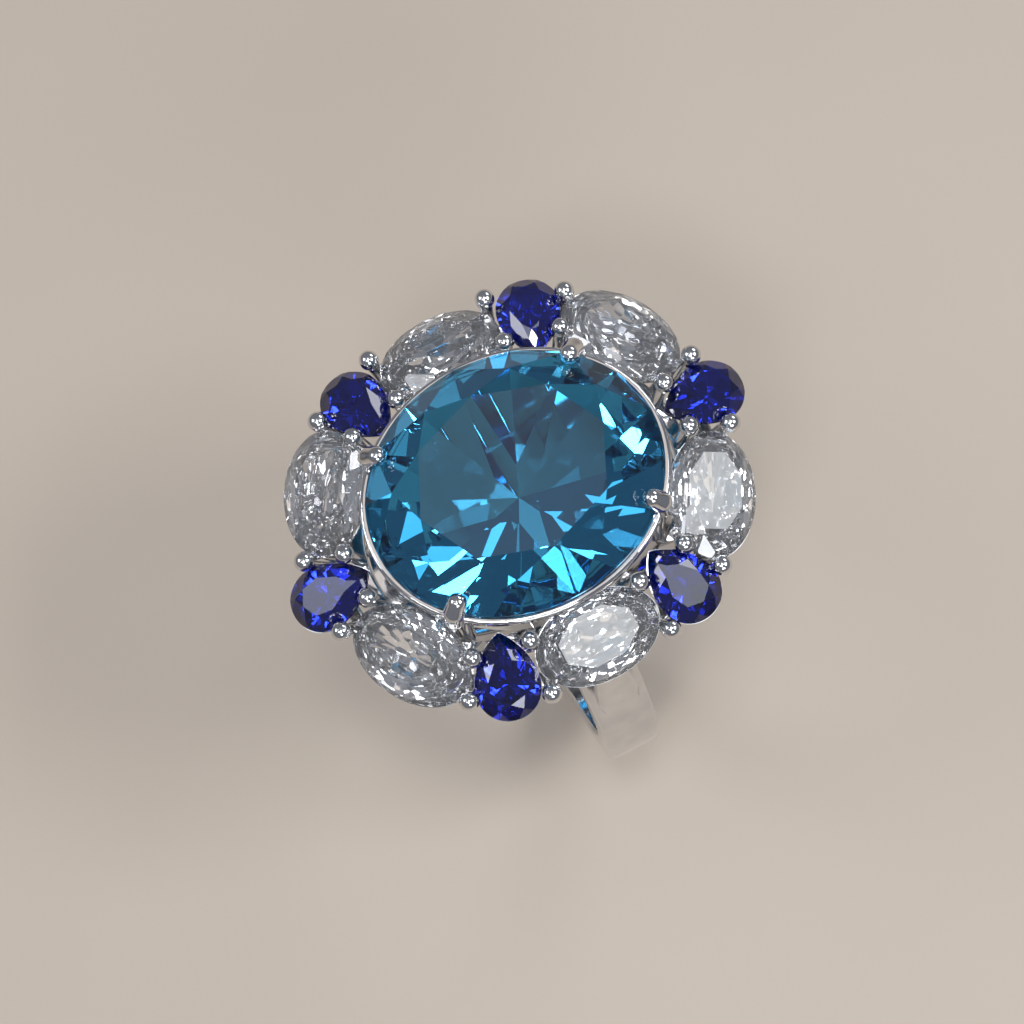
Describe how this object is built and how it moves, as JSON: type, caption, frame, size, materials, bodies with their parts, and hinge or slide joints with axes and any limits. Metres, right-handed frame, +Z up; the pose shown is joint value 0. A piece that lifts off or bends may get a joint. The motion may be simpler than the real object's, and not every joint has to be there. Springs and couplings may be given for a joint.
{
  "type": "cocktail ring",
  "caption": "Oval halo cocktail ring: a claw-set light blue oval stone ringed by alternating blue pears and clear ovals on shared bead prongs, over an open gallery and a plain polished band.",
  "frame": {"origin": "centre of the finger hole, on its axis, halfway across the band", "axes": "+Y along the finger and the centre stone's long axis, +Z up through the centre stone, +X across the finger"},
  "size_m": [0.0212, 0.0232, 0.0271],
  "materials": {
    "polished_metal": "high polish, rhodium-plated silver",
    "aqua_stone": "polished facets, light aqua blue",
    "royal_blue_stone": "polished facets, deep royal blue",
    "clear_stone": "polished facets, colourless"
  },
  "bodies": {
    "root": {"base_rail_back": "polished_metal", "base_rail_front": "polished_metal", "centre_basket_rail": "polished_metal", "centre_prong_1": "polished_metal", "centre_prong_2": "polished_metal", "centre_prong_3": "polished_metal", "centre_prong_4": "polished_metal", "centre_seat_rail": "polished_metal", "centre_stone": "aqua_stone", "gallery_struts": "polished_metal", "halo_prongs_1": "polished_metal", "halo_prongs_2": "polished_metal", "halo_prongs_3": "polished_metal", "halo_prongs_4": "polished_metal", "halo_prongs_5": "polished_metal", "halo_prongs_6": "polished_metal", "halo_rail_inner": "polished_metal", "halo_rail_outer": "polished_metal", "oval_seat_1": "polished_metal", "oval_seat_2": "polished_metal", "oval_seat_3": "polished_metal", "oval_seat_4": "polished_metal", "oval_seat_5": "polished_metal", "oval_seat_6": "polished_metal", "oval_stone_1": "clear_stone", "oval_stone_2": "clear_stone", "oval_stone_3": "clear_stone", "oval_stone_4": "clear_stone", "oval_stone_5": "clear_stone", "oval_stone_6": "clear_stone", "pear_seat_1": "polished_metal", "pear_seat_2": "polished_metal", "pear_seat_3": "polished_metal", "pear_seat_4": "polished_metal", "pear_seat_5": "polished_metal", "pear_seat_6": "polished_metal", "pear_stone_1": "royal_blue_stone", "pear_stone_2": "royal_blue_stone", "pear_stone_3": "royal_blue_stone", "pear_stone_4": "royal_blue_stone", "pear_stone_5": "royal_blue_stone", "pear_stone_6": "royal_blue_stone", "shank": "polished_metal", "shoulder_1": "polished_metal", "shoulder_2": "polished_metal"}
  },
  "joints": []
}
